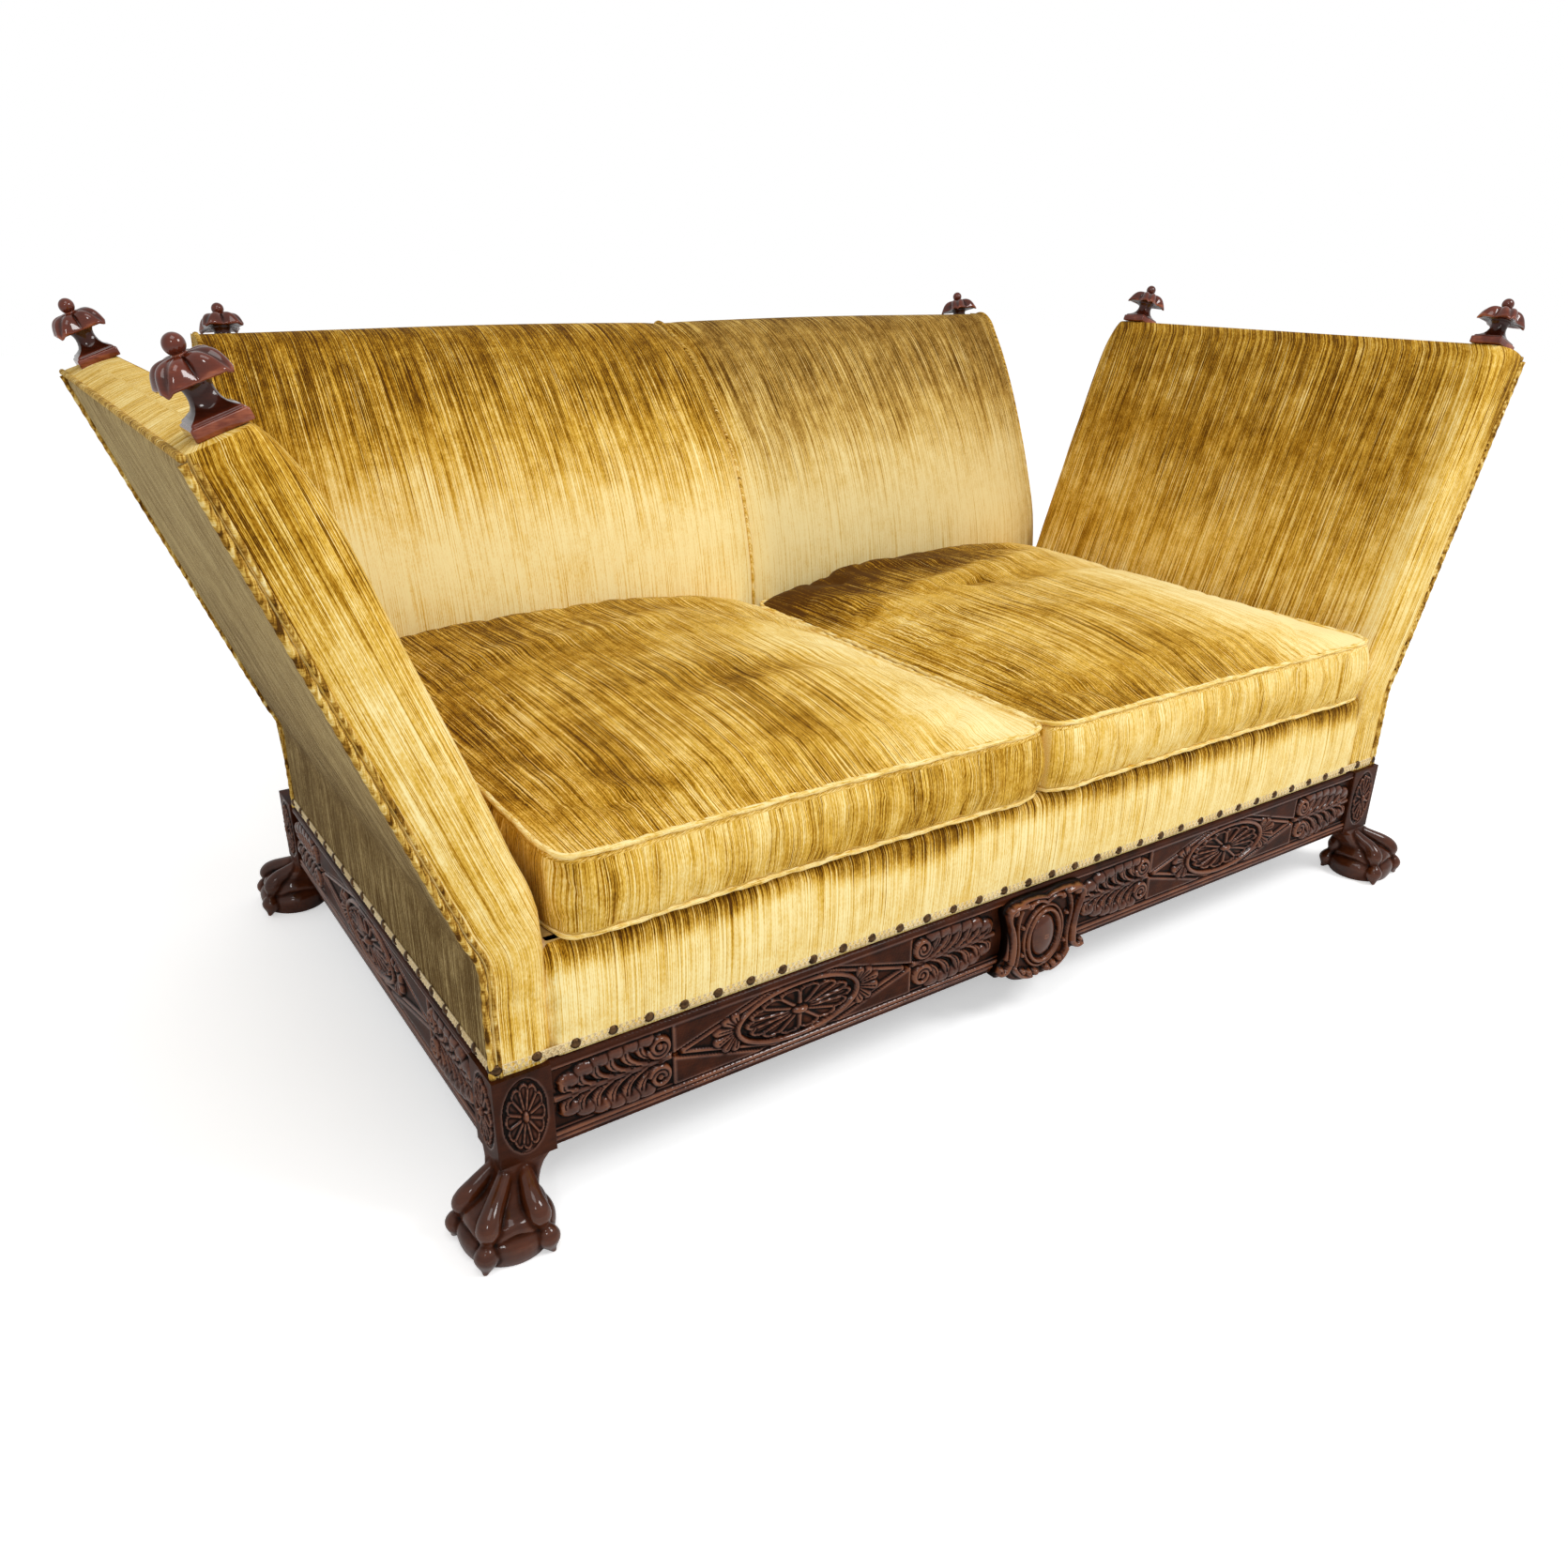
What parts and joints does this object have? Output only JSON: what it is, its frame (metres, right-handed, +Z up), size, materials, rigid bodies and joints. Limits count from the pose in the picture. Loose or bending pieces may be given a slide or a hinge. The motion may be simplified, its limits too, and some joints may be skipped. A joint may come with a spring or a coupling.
{
  "type": "knole sofa",
  "caption": "Two-seat knole sofa with let-down arms in old-gold velvet on a carved dark wood base with claw-and-ball feet and carved finials.",
  "frame": {"origin": "on the floor, below the middle of the sofa's bounding box", "axes": "+Z up, the front faces -Y, the length runs along X, and the sitter's left is +X"},
  "size_m": [2.1838, 1.2674, 1.0419],
  "materials": {
    "carved_wood": "polished",
    "finial_wood": "polished",
    "frame_wood": "sawn",
    "velvet": "strie velvet",
    "deck_cloth": "plain weave",
    "webbing": "jute weave",
    "black_cloth": "thin weave",
    "braid": "woven gimp",
    "hinge_steel": "dull"
  },
  "bodies": {
    "base": {"arm_base_pad_left": "velvet", "arm_base_pad_right": "velvet", "arm_base_rail_left": "frame_wood", "arm_base_rail_right": "frame_wood", "back_bottom_rail": "frame_wood", "back_finial_left": "finial_wood", "back_finial_right": "finial_wood", "back_middle_post": "frame_wood", "back_outer_panel": "velvet", "back_pad": "velvet", "back_post_left": "frame_wood", "back_post_right": "frame_wood", "back_top_rail": "frame_wood", "base_stretcher_left": "frame_wood", "base_stretcher_right": "frame_wood", "centre_cartouche": "carved_wood", "corner_brackets": "frame_wood", "dust_cover": "black_cloth", "front_border": "velvet", "front_leg_left": "carved_wood", "front_leg_right": "carved_wood", "front_rail": "carved_wood", "gimp_braid": "braid", "hinge_ears_left": "hinge_steel", "hinge_ears_right": "hinge_steel", "rear_leg_left": "carved_wood", "rear_leg_right": "carved_wood", "rear_rail": "carved_wood", "seat_deck": "deck_cloth", "seat_frame_front": "frame_wood", "seat_frame_middle": "frame_wood", "seat_frame_rear": "frame_wood", "seat_frame_side_left": "frame_wood", "seat_frame_side_right": "frame_wood", "side_rail_left": "carved_wood", "side_rail_right": "carved_wood", "webbing_columns": "webbing", "webbing_rows": "webbing"},
    "arm_left": {"arm_bottom_rail_left": "frame_wood", "arm_finial_front_left": "finial_wood", "arm_finial_rear_left": "finial_wood", "arm_front_post_left": "frame_wood", "arm_outer_panel_left": "velvet", "arm_pad_left": "velvet", "arm_rear_post_left": "frame_wood", "arm_top_rail_left": "frame_wood", "hinge_pins_left": "hinge_steel"},
    "arm_right": {"arm_bottom_rail_right": "frame_wood", "arm_finial_front_right": "finial_wood", "arm_finial_rear_right": "finial_wood", "arm_front_post_right": "frame_wood", "arm_outer_panel_right": "velvet", "arm_pad_right": "velvet", "arm_rear_post_right": "frame_wood", "arm_top_rail_right": "frame_wood", "hinge_pins_right": "hinge_steel"},
    "cushion_left": {"seat_cushion_left": "velvet"},
    "cushion_right": {"seat_cushion_right": "velvet"}
  },
  "joints": [
    {"name": "arm_left_hinge", "type": "hinge", "parent": "base", "child": "arm_left", "pos_m": [-0.833, -0.07874, 0.37], "axis": [0, -1, 0], "range_deg": [-14, 40]},
    {"name": "arm_right_hinge", "type": "hinge", "parent": "base", "child": "arm_right", "pos_m": [0.833, -0.07874, 0.37], "axis": [0, 1, 0], "range_deg": [-14, 40]},
    {"name": "cushion_left_lift", "type": "slide", "parent": "base", "child": "cushion_left", "axis": [0, 0, 1], "range_m": [0, 0.6]},
    {"name": "cushion_right_lift", "type": "slide", "parent": "base", "child": "cushion_right", "axis": [0, 0, 1], "range_m": [0, 0.6]}
  ]
}
